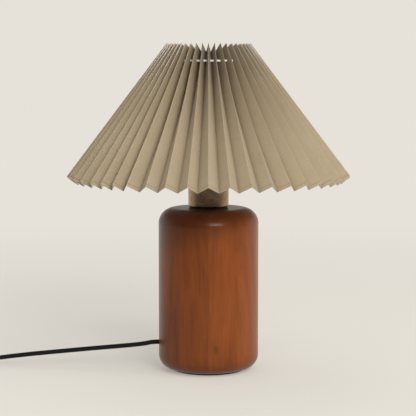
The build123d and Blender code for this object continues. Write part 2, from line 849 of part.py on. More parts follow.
# ---------------------------------------------------------------- write every node
save("wooden_base", wooden_base())
save("foot_pad", foot_pad())
save("base_plate", base_plate())
save("plate_screws", *[Pos(place.X, place.Y, 0) * plate_screw() for place in plate_screw_places()])
save("lamp_rod", lamp_rod())
save("rod_washer", flat_washer(hollow_top - washer_thickness))
save("rod_nut", hex_nut(hollow_top - washer_thickness - nut_height))
save("neck_seat_ring", ring(cup_diameter / 2 - seat_inset, rod_diameter / 2 + wood_bore_gap,
                            wood_top, seat_thickness))
save("neck_cup", neck_cup())
save("cup_washer", flat_washer(cup_bottom + cup_floor))
save("cup_nut", hex_nut(cup_nut_bottom))
save("holder_body", holder_body())
save("holder_skirt", holder_skirt())
save("holder_insulator", holder_insulator())
save("holder_shell", holder_shell())
save("holder_tongue", holder_tongue())
save("cord_bushing", cord_bushing())
save("inner_lead", inner_lead())
save("lead_cores", lead_core(-1), lead_core(1))

save("shade_ring", shade_ring())
save("ring_washer", ring_washer())
save("frame_fitter", frame_fitter())
save("frame_lower_hoop", frame_hoop(spider_height))
save("frame_upper_hoop", frame_hoop(top_ring_height))
for step in range(arm_count):
    save(f"frame_arm_{step + 1}", frame_arm(step))
for step in range(rib_count):
    save(f"frame_rib_{step + 1}", frame_rib(step))
save("pleated_shade", pleated_shade())
save("drawcord", drawcord())

save("bulb_contact", bulb_contact())
save("bulb_cap", bulb_cap())
save("bulb_collar", bulb_collar())
save("bulb_globe", bulb_globe())

save("power_cord_lead", lead)
save("power_cord_tail", tail)
save("power_cord_end", plug_end)
save("power_cord_coil", cord_coil())
save("coil_tie", coil_tie())

save("switch_lower_shell", switch_lower_shell())
save("switch_upper_shell", switch_upper_shell())
save("switch_rocker", switch_rocker())
save("switch_screws", *[switch_place * place * switch_screw() for place in screw_places()])
save("switch_contacts", switch_contact(-1), switch_contact(1))
save("switch_reliefs", relief(switch_start_x, 1, switch_y, switch_cord_height),
     relief(switch_end_x, -1, switch_y, switch_cord_height))
save("plug_body", plug_body())
save("plug_pins", plug_place * plug_pin_shape(-1), plug_place * plug_pin_shape(1))
save("plug_relief", relief(plug_start_x, -1, plug_y, plug_axis))
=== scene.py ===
# %% [markdown]
# # A pleated paper table lamp, dressed step by step
# The measured model gives every rigid piece its place. This lesson adds what a measured model
# can't show: folded paper, braided flex, stained wood, brushed metal, and the light of a studio.
# Units are metres, +Z is up, and the lamp's axis stands on the origin, facing -Y.

# %% Load the measured model as a fixed frame
import json
import math

import bmesh
import bpy
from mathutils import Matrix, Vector


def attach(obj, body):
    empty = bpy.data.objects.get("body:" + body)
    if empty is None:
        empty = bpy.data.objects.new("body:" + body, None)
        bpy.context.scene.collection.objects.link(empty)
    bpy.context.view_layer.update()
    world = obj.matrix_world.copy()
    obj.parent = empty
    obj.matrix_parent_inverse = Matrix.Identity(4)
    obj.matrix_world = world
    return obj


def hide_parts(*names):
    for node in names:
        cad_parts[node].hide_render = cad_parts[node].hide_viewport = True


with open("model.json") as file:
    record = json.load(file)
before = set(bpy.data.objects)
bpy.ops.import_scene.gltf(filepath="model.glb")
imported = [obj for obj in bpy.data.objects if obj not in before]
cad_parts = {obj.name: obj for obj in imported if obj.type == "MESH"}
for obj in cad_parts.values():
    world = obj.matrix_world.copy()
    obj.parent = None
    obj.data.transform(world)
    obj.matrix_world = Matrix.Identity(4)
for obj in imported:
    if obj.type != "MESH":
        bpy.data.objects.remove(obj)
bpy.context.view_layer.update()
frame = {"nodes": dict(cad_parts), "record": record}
nodes = frame["nodes"]
print("pieces in the measured model:", len(nodes))

# %% [markdown]
# ## Camera and room
# The photograph is taken from about the height of the lamp's top, looking a little down, with a
# long lens, so upright lines stay nearly upright. A long lens is a large focal length: 133 mm on
# a 36 mm sensor, from 1.83 m away.

# %% Camera
camera_tilt = 0.100  # radians, downwards
camera_data = bpy.data.cameras.new("studio_camera")
camera_data.sensor_width = 36
camera_data.lens = 132.75
camera_data.shift_x = -0.0012
camera = bpy.data.objects.new("studio_camera", camera_data)
bpy.context.scene.collection.objects.link(camera)
camera.location = (0, -1.832, 0.379)
camera.rotation_euler = (math.pi / 2 - camera_tilt, 0, 0)
bpy.context.scene.camera = camera
bpy.context.scene.view_settings.view_transform = "Standard"
print("camera height", camera.location.z, "m, focal length", camera_data.lens, "mm")


# %% [markdown]
# ## Small helpers for node work
# A material is a small network. These helpers add a node with its settings, join two sockets,
# and mix two colours by a mask, so that each finish below reads as a short recipe.

# %% Node helpers
def add(tree, kind, values=(), **settings):
    node = tree.nodes.new(kind)
    for key, value in settings.items():
        setattr(node, key, value)
    for key, value in dict(values).items():
        node.inputs[key].default_value = value
    return node


def join(tree, source, target):
    tree.links.new(source, target)


def math_node(tree, operation, first, second=None, third=None):
    node = add(tree, "ShaderNodeMath", operation=operation)
    for socket, value in zip(node.inputs, (first, second, third)):
        if isinstance(value, bpy.types.NodeSocket):
            join(tree, value, socket)
        elif value is not None:
            socket.default_value = value
    return node.outputs[0]


def mix_colours(tree, mask, first, second):
    node = add(tree, "ShaderNodeMix", data_type="RGBA")
    join(tree, mask, node.inputs[0])
    for socket, value in ((node.inputs[6], first), (node.inputs[7], second)):
        if isinstance(value, bpy.types.NodeSocket):
            join(tree, value, socket)
        else:
            socket.default_value = (*value, 1)
    return node.outputs[2]


def span(tree, value, low, high, new_low=0.0, new_high=1.0):
    node = add(tree, "ShaderNodeMapRange", {1: low, 2: high, 3: new_low, 4: new_high})
    join(tree, value, node.inputs[0])
    return node.outputs[0]


print("helpers: add, join, math_node, mix_colours, span")


# %% [markdown]
# ## Shared effects as node groups
# Many finishes need the same effects: a cloudy grain, crossed threads, and the faint smears and
# dust that any handled thing has. Each is built once as a group with named inputs and outputs,
# then placed in each material with its own values. A group gives only numbers that vary over
# the surface; the shader itself stays in the material.

# %% Group: grain, a noise that can be stretched along Z
def new_group(name, inputs, outputs):
    tree = bpy.data.node_groups.new(name, "ShaderNodeTree")
    for socket_name, kind in inputs:
        tree.interface.new_socket(socket_name, in_out="INPUT", socket_type=f"NodeSocket{kind}")
    for socket_name, kind in outputs:
        tree.interface.new_socket(socket_name, in_out="OUTPUT", socket_type=f"NodeSocket{kind}")
    return tree, add(tree, "NodeGroupInput").outputs, add(tree, "NodeGroupOutput").inputs


grain_group, given, result = new_group(
    "grain", [("Vector", "Vector"), ("Scale", "Float"), ("Stretch", "Float"), ("Bend", "Float")],
    [("Value", "Float")])
squeeze = add(grain_group, "ShaderNodeCombineXYZ", {"X": 1.0, "Y": 1.0})
join(grain_group, given["Stretch"], squeeze.inputs["Z"])
stretched = add(grain_group, "ShaderNodeVectorMath", operation="MULTIPLY")
join(grain_group, given["Vector"], stretched.inputs[0])
join(grain_group, squeeze.outputs[0], stretched.inputs[1])
noise = add(grain_group, "ShaderNodeTexNoise", {"Detail": 5.0, "Roughness": 0.55})
join(grain_group, stretched.outputs[0], noise.inputs["Vector"])
join(grain_group, given["Scale"], noise.inputs["Scale"])
join(grain_group, given["Bend"], noise.inputs["Distortion"])
join(grain_group, span(grain_group, noise.outputs["Fac"], 0.3, 0.7), result["Value"])
print("group", grain_group.name, "ready")

# %% Group: threads, two families of threads that cross each other
threads_group, given, result = new_group(
    "threads", [("First", "Float"), ("Second", "Float")], [("Height", "Float")])
waves = []
for key in ("First", "Second"):
    turned = math_node(threads_group, "MULTIPLY", given[key], 2 * math.pi)
    waves.append(math_node(threads_group, "SINE", turned))
crossing = math_node(threads_group, "MULTIPLY", *waves)
join(threads_group, span(threads_group, crossing, -1.0, 1.0), result["Height"])
print("group", threads_group.name, "ready")

# %% Group: handling, the slow smears and fine dust of a used surface
handling_group, given, result = new_group(
    "handling", [("Vector", "Vector"), ("Roughness", "Float"), ("Variation", "Float")],
    [("Roughness", "Float"), ("Dust", "Float")])
smear = add(handling_group, "ShaderNodeTexNoise", {"Scale": 22.0, "Detail": 3.0})
speck = add(handling_group, "ShaderNodeTexNoise", {"Scale": 900.0, "Detail": 1.0})
for texture in (smear, speck):
    join(handling_group, given["Vector"], texture.inputs["Vector"])
shift = math_node(handling_group, "SUBTRACT", smear.outputs["Fac"], 0.5)
varied = math_node(handling_group, "MULTIPLY_ADD", shift, given["Variation"], given["Roughness"])
join(handling_group, varied, result["Roughness"])
join(handling_group, span(handling_group, speck.outputs["Fac"], 0.66, 0.72), result["Dust"])
print("group", handling_group.name, "ready")


# %% A material's start: its shader, its coordinates and a placed group
def new_material(name, **fixed):
    """A material with a Principled shader whose unchanging values sit on its own sockets."""
    material = bpy.data.materials.new(name)
    material.use_nodes = True
    tree = material.node_tree
    shader = tree.nodes["Principled BSDF"]
    for key, value in fixed.items():
        shader.inputs[key.replace("_", " ")].default_value = value
    return material, tree, shader


def place_group(tree, group, **values):
    node = add(tree, "ShaderNodeGroup", node_tree=group)
    for key, value in values.items():
        if isinstance(value, bpy.types.NodeSocket):
            join(tree, value, node.inputs[key])
        else:
            node.inputs[key].default_value = value
    return node.outputs


def object_place(tree):
    return add(tree, "ShaderNodeTexCoord").outputs["Object"]


def bump(tree, shader, height, strength, distance):
    node = add(tree, "ShaderNodeBump", {"Strength": strength, "Distance": distance})
    join(tree, height, node.inputs["Height"])
    join(tree, node.outputs[0], shader.inputs["Normal"])


print("material helpers: new_material, place_group, object_place, bump")


# %% [markdown]
# ## Route of the flex
# A mains flex is stiff: it leaves the base level, slopes down through the air and lands to the
# left. The points of its route are given, as in the measured model. One smooth spline
# follows them, with an order of 3 set after the points are added. The tube round that spline is
# built from the spline's own evaluated line, so the braid pattern can be laid along it in metres.

# %% Spline of a route, and the smooth line that it gives
def smooth_line(name, route):
    curve = bpy.data.curves.new(name, "CURVE")
    curve.dimensions = "3D"
    curve.resolution_u = 8
    spline = curve.splines.new("NURBS")
    spline.points.add(len(route) - 1)
    for point, place in zip(spline.points, route):
        point.co = (*place, 1)
    spline.order_u = 3
    spline.use_endpoint_u = True
    carrier = bpy.data.objects.new(name, curve)
    bpy.context.scene.collection.objects.link(carrier)
    line = bpy.data.meshes.new_from_object(carrier)
    points = [vertex.co.copy() for vertex in line.vertices]
    bpy.data.objects.remove(carrier)
    bpy.data.meshes.remove(line)
    length = sum((b - a).length for a, b in zip(points, points[1:]))
    print(name, "has", len(route), "chosen points and is", round(length, 4), "m long")
    return points, length


# %% [markdown]
# ## Tube along a line
# The tube carries its own UV map: U is the distance along the flex in metres, V goes once round.
# A frame is carried from ring to ring with the least twist, so the braid doesn't spin.

# %% Tube with its UV map
def tube(name, line, radius, sides=16):
    mesh = bmesh.new()
    layer = mesh.loops.layers.uv.new("along")
    across = (line[1] - line[0]).orthogonal().normalized()
    rings, distances, travelled = [], [], 0.0
    for index, here in enumerate(line):
        before, after = line[max(index - 1, 0)], line[min(index + 1, len(line) - 1)]
        ahead = (after - before).normalized()
        across = (across - ahead * across.dot(ahead)).normalized()
        third = ahead.cross(across)
        if index:
            travelled += (here - before).length
        turns = [2 * math.pi * side / sides for side in range(sides)]
        rings.append([mesh.verts.new(here + radius * (across * math.cos(t) + third * math.sin(t)))
                      for t in turns])
        distances.append(travelled)
    for step, (low, high) in enumerate(zip(rings, rings[1:])):
        for side in range(sides):
            other = (side + 1) % sides
            face = mesh.faces.new((low[side], low[other], high[other], high[side]))
            corners = ((step, side), (step, side + 1), (step + 1, side + 1), (step + 1, side))
            for loop, (ring, turn) in zip(face.loops, corners):
                loop[layer].uv = (distances[ring], turn / sides)
    mesh.faces.new(list(reversed(rings[0])))
    mesh.faces.new(rings[-1])
    data = bpy.data.meshes.new(name)
    mesh.to_mesh(data)
    mesh.free()
    data.shade_smooth()
    piece = bpy.data.objects.new(name, data)
    bpy.context.scene.collection.objects.link(piece)
    print(name, "tube with", len(data.polygons), "faces")
    return piece


# %% The flex from the base to the switch
flex_radius = 0.00275
lead_route = [
    (-0.0600, 0.0000, 0.0325), (-0.0680, 0.0000, 0.0325), (-0.0780, 0.0009, 0.0300),
    (-0.0980, 0.0036, 0.0274), (-0.1360, 0.0082, 0.0234), (-0.1810, 0.0134, 0.0183),
    (-0.2260, 0.0183, 0.0131), (-0.2650, 0.0234, 0.0073), (-0.2970, 0.0230, 0.0032),
    (-0.3220, 0.0172, 0.0029), (-0.3450, 0.0140, 0.0060), (-0.3680, 0.0140, 0.0060),
]
lead_line, lead_length = smooth_line("lead_route", lead_route)
flex_lead = tube("flex_lead", lead_line, flex_radius)

# %% [markdown]
# ## The put-away length
# The rest of the 1.8 m flex is wound by hand into a small coil: three turns side by side on the
# floor, two nested on them, a short stretch on top, and a last turn that leans on the outside.
# Each turn keeps its place for most of the round and moves over in its last third. The table
# below holds those places as the turn counter, the winding's radius and its height; the points
# between them follow by smooth steps.

# %% Turns of the coil
coil_middle = Vector((-0.470, 0.104, 0))
start_turn = math.radians(191)
winding = [
    (0.00, 0.0368, 0.0039), (0.60, 0.0366, 0.0039), (0.92, 0.0311, 0.0039), (1.60, 0.0310, 0.0039),
    (1.92, 0.0254, 0.0039), (2.52, 0.0254, 0.0039), (2.66, 0.0246, 0.0070), (2.76, 0.0256, 0.0095),
    (2.95, 0.0282, 0.0089), (3.30, 0.0282, 0.0087), (3.42, 0.0308, 0.0096), (3.54, 0.0338, 0.0088),
    (3.70, 0.0338, 0.0096), (3.90, 0.0338, 0.0090), (4.26, 0.0339, 0.0087), (4.35, 0.0353, 0.0112),
    (4.43, 0.0344, 0.0143), (4.50, 0.0328, 0.0150), (4.60, 0.0311, 0.0143), (4.72, 0.0310, 0.0147),
    (4.90, 0.0312, 0.0139), (5.00, 0.0336, 0.0148), (5.08, 0.0374, 0.0132), (5.15, 0.0398, 0.0108),
    (5.22, 0.0402, 0.0092), (5.45, 0.0396, 0.0090), (5.85, 0.0394, 0.0090), (5.97, 0.0398, 0.0102),
    (6.04, 0.0404, 0.0092), (6.10, 0.0414, 0.0070), (6.17, 0.0424, 0.0048), (6.24, 0.0427, 0.0036),
]


def winding_place(turn):
    for (t0, r0, z0), (t1, r1, z1) in zip(winding, winding[1:]):
        if turn <= t1:
            share = (turn - t0) / (t1 - t0)
            share = share * share * (3 - 2 * share)
            radius, height = r0 + share * (r1 - r0), z0 + share * (z1 - z0)
            break
    angle = start_turn - 2 * math.pi * turn
    return coil_middle + Vector((radius * math.cos(angle), radius * math.sin(angle), height))


points_per_turn, last_turn = 18, 6.23
coil_points = [tuple(winding_place(step / points_per_turn))
               for step in range(1, int(last_turn * points_per_turn) + 1)]
print("coil of", len(coil_points), "points")

# %% The flex from the switch through the coil to the plug
switch_with_reliefs = 0.1
tail_route = [
    (-0.4600, 0.0140, 0.0060), (-0.4800, 0.0140, 0.0060), (-0.5000, 0.0200, 0.0033),
    (-0.5140, 0.0380, 0.0029), (-0.5130, 0.0620, 0.0029), (-0.5085, 0.0800, 0.0034),
    (-0.5066, 0.0930, 0.0039),
]
plug_route = [
    (-0.4780, 0.1460, 0.0034), (-0.4620, 0.1466, 0.0032), (-0.4460, 0.1436, 0.0036),
    (-0.4320, 0.1402, 0.0066), (-0.4140, 0.1400, 0.00685),
]
rest_line, rest_length = smooth_line("rest_route", tail_route + coil_points + plug_route)
flex_rest = tube("flex_rest", rest_line, flex_radius)
print("flex in all", round(lead_length + rest_length + switch_with_reliefs, 3), "m with the switch")

# %% [markdown]
# ## Black braided flex
# The flex is covered with a tight textile braid: two families of black threads cross on a
# slant. The shared threads group gives that crossing from two running numbers, the distance
# along the flex plus or minus its turn round it. The cloth is matt, with a faint sheen.

# %% Braided textile material
def braid_material(name, dark, light, pitch, starts, roughness=0.75, depth=0.0004):
    material, tree, shader = new_material(
        name, Sheen_Weight=0.08, Sheen_Roughness=0.4, Specular_IOR_Level=0.2)
    split = add(tree, "ShaderNodeSeparateXYZ")
    join(tree, add(tree, "ShaderNodeUVMap", uv_map="along").outputs[0], split.inputs[0])
    along = math_node(tree, "DIVIDE", split.outputs["X"], pitch)
    first = math_node(tree, "MULTIPLY_ADD", split.outputs["Y"], float(starts), along)
    second = math_node(tree, "MULTIPLY_ADD", split.outputs["Y"], -float(starts), along)
    threads = place_group(tree, threads_group, First=first, Second=second)
    place = object_place(tree)
    fuzz = place_group(tree, grain_group, Vector=place, Scale=1500.0, Stretch=1.0, Bend=0.0)
    mask = math_node(tree, "MULTIPLY_ADD", fuzz["Value"], 0.5, math_node(
        tree, "MULTIPLY", threads["Height"], 0.5))
    join(tree, mix_colours(tree, mask, dark, light), shader.inputs["Base Color"])
    smears = place_group(tree, handling_group, Vector=place, Roughness=roughness, Variation=0.2)
    join(tree, smears["Roughness"], shader.inputs["Roughness"])
    bump(tree, shader, threads["Height"], 0.7, depth)
    return material


black_braid = braid_material("black_braid", (0.0015, 0.0015, 0.002), (0.014, 0.014, 0.017),
                             pitch=0.0042, starts=4)
for piece in (flex_lead, flex_rest):
    piece.data.materials.append(black_braid)
    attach(piece, "stand")
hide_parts("power_cord_lead")
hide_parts("power_cord_tail", "power_cord_coil", "power_cord_end")
print("material", black_braid.name, "on", flex_lead.name, "and", flex_rest.name)


# %% [markdown]
# ## Modelling helpers
# New rigid pieces are modelled as by hand, with Blender's own operators: add a primitive, go
# into edit mode, select by place, and extrude, inset, bevel or scale. Nothing may stay selected
# from an earlier step, so every new piece starts by clearing the selection.

# %% Start a piece, select by place, finish a piece
def start_piece(name, operator, **settings):
    if bpy.context.object and bpy.context.object.mode != "OBJECT":
        bpy.ops.object.mode_set(mode="OBJECT")
    bpy.ops.object.select_all(action="DESELECT")
    operator(**settings)
    piece = bpy.context.object
    piece.name = name
    piece.data.name = name
    return piece


def select_where(piece, kind, test):
    """Select the vertices, edges or faces whose place passes a test, and nothing else."""
    bpy.context.view_layer.objects.active = piece
    bpy.ops.object.mode_set(mode="EDIT")
    mesh = bmesh.from_edit_mesh(piece.data)
    bpy.context.tool_settings.mesh_select_mode = (kind == "VERT", kind == "EDGE", kind == "FACE")
    matrix = piece.matrix_world
    for group in (mesh.faces, mesh.edges, mesh.verts):
        for item in group:
            item.select = False
    chosen = 0
    for item in {"VERT": mesh.verts, "EDGE": mesh.edges, "FACE": mesh.faces}[kind]:
        if kind == "VERT":
            place = matrix @ item.co
        elif kind == "EDGE":
            place = (matrix @ item.verts[0].co, matrix @ item.verts[1].co)
        else:
            place = matrix @ item.calc_center_median()
        if test(place):
            item.select = True
            chosen += 1
    mesh.select_flush_mode()
    bmesh.update_edit_mesh(piece.data)
    return chosen


def finish_piece(piece, body, slot, *replaced, smooth=35):
    """Close the edit, put the place into the mesh, shade it and let it ride on its body."""
    bpy.context.view_layer.objects.active = piece
    bpy.ops.object.mode_set(mode="OBJECT")
    bpy.ops.object.select_all(action="DESELECT")
    piece.select_set(True)
    bpy.ops.object.transform_apply(location=True, rotation=True, scale=True)
    bpy.ops.object.shade_smooth_by_angle(angle=math.radians(smooth))
    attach(piece, body)
    if replaced:
        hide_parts(*replaced)
    print(piece.name, "has", len(piece.data.vertices), "points")
    return piece


def outward(piece):
    """Merge doubles, then turn every face outwards."""
    select_where(piece, "VERT", lambda place: True)
    bpy.ops.mesh.remove_doubles(threshold=0.00001)
    bpy.ops.mesh.select_all(action="SELECT")
    bpy.ops.mesh.normals_make_consistent(inside=False)


print("helpers: start_piece, select_where, finish_piece, outward")

# %% [markdown]
# ## The pleated shade
# The real shade is one long sheet, folded to and fro and closed to a cone. A cone with twice as
# many sides as pleats is the same thing before folding: every second column of points then
# moves inwards, square to the cone, until each strip between two folds has the paper's width.
# The depth of a fold follows from that width and from how far apart the ridges stand.

# %% Sizes of the folded sheet
pleat_count = 44
strip_width = 0.0171
paper_thickness = 0.0005
ridge_low, ridge_high = Vector((0.1695, 0.2343)), Vector((0.0503, 0.3918))
cone_slope = math.atan2(ridge_low.x - ridge_high.x, ridge_high.y - ridge_low.y)


def valley_beside(ridge):
    depth = math.sqrt(strip_width ** 2 - (math.pi * ridge.x / pleat_count) ** 2)
    return ridge - depth * Vector((math.cos(cone_slope), math.sin(cone_slope)))


valley_low, valley_high = valley_beside(ridge_low), valley_beside(ridge_high)
print("valleys at the hem", [round(v, 4) for v in valley_low],
      "and at the top", [round(v, 4) for v in valley_high])

# %% Cone with two columns of points for each pleat
half_height = (ridge_high.y - ridge_low.y) / 2
shade = start_piece(
    "folded_shade", bpy.ops.mesh.primitive_cone_add, vertices=2 * pleat_count, radius1=ridge_low.x,
    radius2=ridge_high.x, depth=2 * half_height, end_fill_type="NOTHING",
    location=(0, 0, ridge_low.y + half_height))
step_angle = math.pi / pleat_count


def column_of(place):
    return round((math.atan2(place.y, place.x) + math.pi / 2) / step_angle) % (2 * pleat_count)


for at_top, ridge, valley in ((False, ridge_low, valley_low), (True, ridge_high, valley_high)):
    chosen = select_where(shade, "VERT", lambda p: column_of(p) % 2 == 1 and (
        p.z > ridge_low.y + half_height) == at_top)
    scale = valley.x / ridge.x
    bpy.ops.transform.resize(value=(scale, scale, 1), center_override=(0, 0, ridge.y))
    bpy.ops.transform.translate(value=(0, 0, valley.y - ridge.y))
    print("moved", chosen, "points of the", "top" if at_top else "hem", "to", round(valley.x, 4))

# %% [markdown]
# Real pleats are never quite even. On the left of this lamp a few stand closer together. Each
# column is turned about the axis by a small angle. A few chosen pairs give it: an angle from the
# front, and the turn there, both in degrees. A tremble of a third of a degree is added, which is
# the same each time the lesson runs.

# %% Uneven spacing of the folds
crowding = [(-180, 0.0), (-110, 4.5), (-80, 5.6), (-66, 5.4), (-57, 4.6), (-49, 3.4), (-42, 1.6),
            (-35, 0.2), (0, 0.0), (180, 0.0)]
tremble_size, golden_angle, slow_step, slow_start = 0.35, 2.399, 0.77, 1.3


def crowd(angle):
    for (a0, shift0), (a1, shift1) in zip(crowding, crowding[1:]):
        if angle <= a1:
            return shift0 + (angle - a0) / (a1 - a0) * (shift1 - shift0)
    return 0.0


bpy.ops.object.mode_set(mode="OBJECT")
bpy.ops.object.transform_apply(location=True)
columns = {}
for vertex in shade.data.vertices:
    columns.setdefault(column_of(vertex.co), []).append(vertex.index)
for column, members in sorted(columns.items()):
    from_front = (math.degrees(column * step_angle) + 180) % 360 - 180
    slow = math.sin(column * slow_step + slow_start)
    tremble = tremble_size * math.sin(column * golden_angle) * slow
    turn = math.radians(crowd(from_front) + tremble)
    select_where(shade, "VERT", lambda place: False)
    mesh = bmesh.from_edit_mesh(shade.data)
    mesh.verts.ensure_lookup_table()
    for index in members:
        mesh.verts[index].select = True
    mesh.select_flush_mode()
    bmesh.update_edit_mesh(shade.data)
    bpy.ops.transform.rotate(value=-turn, orient_axis="Z", center_override=(0, 0, 0))
print("turned", len(columns), "columns by up to", max(shift for _, shift in crowding), "degrees")

# %% [markdown]
# Each strip twists a little from hem to top, so it needs points along its height. Subdividing
# only the upright edges gives them. A narrow bevel then softens the folds, and with them the
# slanting edges that now cross each strip: paper never folds to a knife edge, and the bevel is
# what catches the thin line of light along each ridge.

# %% Points along the height, and soft folds
upright_rise, slanting_rise = 0.05, 0.005


def upright(ends):
    return abs(ends[0].z - ends[1].z) > upright_rise


print("upright edges", select_where(shade, "EDGE", upright))
bpy.ops.mesh.subdivide(number_cuts=11)


def fold_or_slanting(ends):
    return abs(ends[0].z - ends[1].z) > slanting_rise


print("edges to soften", select_where(shade, "EDGE", fold_or_slanting))
bpy.ops.mesh.bevel(offset=0.0005, offset_type="OFFSET", segments=2, profile=0.6)
bpy.ops.object.mode_set(mode="OBJECT")
print("shade has", len(shade.data.polygons), "faces")

# %% [markdown]
# The paper's materials must know where they are on the sheet. Two numbers are stored on the
# mesh: fold runs from 0 on a ridge to 1 in a valley, and rise from 0 at the hem to 1 at the
# top. A UV map in metres, laid flat as the sheet was before folding, carries the linen grain.

# %% Where each point is on the sheet
def at_height(low, high, z):
    share = (z - low.y) / (high.y - low.y)
    return low.x + share * (high.x - low.x)


fold = shade.data.attributes.new("fold", "FLOAT", "POINT")
rise = shade.data.attributes.new("rise", "FLOAT", "POINT")
for vertex in shade.data.vertices:
    radius = math.hypot(vertex.co.x, vertex.co.y)
    outer = at_height(ridge_low, ridge_high, vertex.co.z)
    inner = at_height(valley_low, valley_high, vertex.co.z)
    inside = min(max((outer - radius) / (outer - inner), 0.0), 1.0)
    fold.data[vertex.index].value = inside
    foot = ridge_low.y + inside * (valley_low.y - ridge_low.y)
    crown = ridge_high.y + inside * (valley_high.y - ridge_high.y)
    rise.data[vertex.index].value = min(max((vertex.co.z - foot) / (crown - foot), 0.0), 1.0)
sheet_length = (ridge_high - ridge_low).length
sheet_map = shade.data.uv_layers.new(name="sheet")
for polygon in shade.data.polygons:
    middle = math.atan2(polygon.center.y, polygon.center.x)
    for loop in polygon.loop_indices:
        index = shade.data.loops[loop].vertex_index
        place = shade.data.vertices[index].co
        swing = (math.atan2(place.y, place.x) - middle + math.pi) % (2 * math.pi) - math.pi
        sheet_map.data[loop].uv = ((middle + swing) / step_angle * strip_width,
                                   rise.data[index].value * sheet_length)
print("flat sheet", round(2 * pleat_count * strip_width, 3), "by", round(sheet_length, 4), "m")

# %% [markdown]
# Solidify gives the sheet its thickness towards the inside. The inner shell takes the second
# material slot, the white lining, as on real lined shade paper. The cut rim stays khaki.

# %% Thickness, with the lining as the second material
outward(shade)
bpy.ops.object.mode_set(mode="OBJECT")
wall = shade.modifiers.new("paper_wall", "SOLIDIFY")
wall.thickness = paper_thickness
wall.offset = -1
wall.use_even_offset = True
wall.material_offset = 1
wall.material_offset_rim = 0
print("paper wall", round(wall.thickness, 4), "m")


# %% [markdown]
# ## Khaki shade paper and its white lining
# The paper has a linen face: crossed threads too fine to see one by one, over a soft mottle.
# Ridges are rubbed lighter and also carry a painted highlight, the valleys hold painted shade,
# and painted shade darkens the paper towards the top, where the folds crowd. A faint line near
# the hem is where the face is turned in. The lining is plain white paper that the daylight
# reaches from below.

# %% Paper materials
thread_pitch = 0.0011
hem_line, hem_half = 0.019, 0.003


def paper_material(name, dark, light, ridge_rub_and_highlight_tint, painted_shade_tint, roughness):
    material, tree, shader = new_material(name, Sheen_Weight=0.1, Specular_IOR_Level=0.25)
    sheet = add(tree, "ShaderNodeUVMap", uv_map="sheet").outputs[0]
    split = add(tree, "ShaderNodeSeparateXYZ")
    join(tree, sheet, split.inputs[0])
    threads = place_group(
        tree, threads_group, First=math_node(tree, "DIVIDE", split.outputs["X"], thread_pitch),
        Second=math_node(tree, "DIVIDE", split.outputs["Y"], thread_pitch))
    slub = place_group(tree, grain_group, Vector=sheet, Scale=420.0, Stretch=1.0, Bend=0.4)
    cloud = place_group(tree, grain_group, Vector=object_place(tree), Scale=30.0, Stretch=0.6, Bend=0.2)
    mottle = math_node(tree, "MULTIPLY", threads["Height"], 0.25)
    mottle = math_node(tree, "MULTIPLY_ADD", slub["Value"], 0.45, mottle)
    mottle = math_node(tree, "MULTIPLY_ADD", cloud["Value"], 0.3, mottle)
    ground = mix_colours(tree, mottle, dark, light)
    fold_place = add(tree, "ShaderNodeAttribute", attribute_name="fold").outputs["Fac"]
    rise_place = add(tree, "ShaderNodeAttribute", attribute_name="rise").outputs["Fac"]
    # The ridges lighten: partly rubbed paper, partly a painted highlight.
    ridge = span(tree, fold_place, 0.07, 0.0, 0.0, 0.40)
    # Painted shade in the valleys, wider and stronger towards the top.
    deep = math_node(tree, "POWER", fold_place, span(tree, rise_place, 0.40, 0.82, 6.0, 0.8))
    valley = math_node(tree, "MULTIPLY", deep, span(tree, rise_place, 0.40, 0.82, 0.50, 0.97))
    at_hem = math_node(tree, "COMPARE", rise_place, hem_line, hem_half)
    hem = math_node(tree, "MULTIPLY", at_hem, 0.35)
    # Painted shade: the whole paper darkens towards the top.
    toned = span(tree, rise_place, 0.30, 1.0, 0.0, 0.46)
    ground = mix_colours(tree, toned, ground, painted_shade_tint)
    ground = mix_colours(tree, ridge, ground, ridge_rub_and_highlight_tint)
    ground = mix_colours(tree, math_node(tree, "MAXIMUM", valley, hem), ground, painted_shade_tint)
    join(tree, ground, shader.inputs["Base Color"])
    smears = place_group(tree, handling_group, Vector=object_place(tree), Roughness=roughness,
                         Variation=0.15)
    join(tree, smears["Roughness"], shader.inputs["Roughness"])
    relief = math_node(tree, "MULTIPLY_ADD", slub["Value"], 0.6, math_node(
        tree, "MULTIPLY", threads["Height"], 0.4))
    bump(tree, shader, relief, 0.3, 0.00012)
    return material


khaki_paper = paper_material("khaki_linen_paper", (0.325, 0.262, 0.168), (0.405, 0.332, 0.222),
                             (0.500, 0.425, 0.300), (0.150, 0.105, 0.060), 0.82)
white_lining = paper_material("white_lining", (0.700, 0.690, 0.670), (0.780, 0.770, 0.750),
                              (0.800, 0.790, 0.770), (0.620, 0.610, 0.590), 0.85)
shade.data.materials.append(khaki_paper)
shade.data.materials.append(white_lining)
bpy.context.view_layer.objects.active = shade
bpy.ops.object.modifier_apply(modifier=wall.name)
finish_piece(shade, "paper_shade", "khaki_paper", "pleated_shade", smooth=20)

# %% [markdown]
# ## The drawcord
# A white cord runs through a punched hole in each strip and gathers the pleats. It nearly fills
# those holes, so they aren't cut here. It is a twisted cord: three strands that wind round each
# other. Each strand is a ring whose points are swung round the ring's own middle line, and the
# three start a third of a turn apart.

# %% Three twisted strands
cord_ring, cord_height = 0.05401, 0.3713
strand_radius, strand_orbit, lay_turns = 0.00082, 0.00072, 64


def twisted_strand(name, start):
    strand = start_piece(name, bpy.ops.mesh.primitive_torus_add, major_segments=448,
                         minor_segments=8, major_radius=cord_ring, minor_radius=strand_radius)
    for vertex in strand.data.vertices:
        angle = math.atan2(vertex.co.y, vertex.co.x)
        swing = start + lay_turns * angle
        out, up = strand_orbit * math.cos(swing), strand_orbit * math.sin(swing)
        vertex.co += Vector((out * math.cos(angle), out * math.sin(angle), up + cord_height))
    return strand


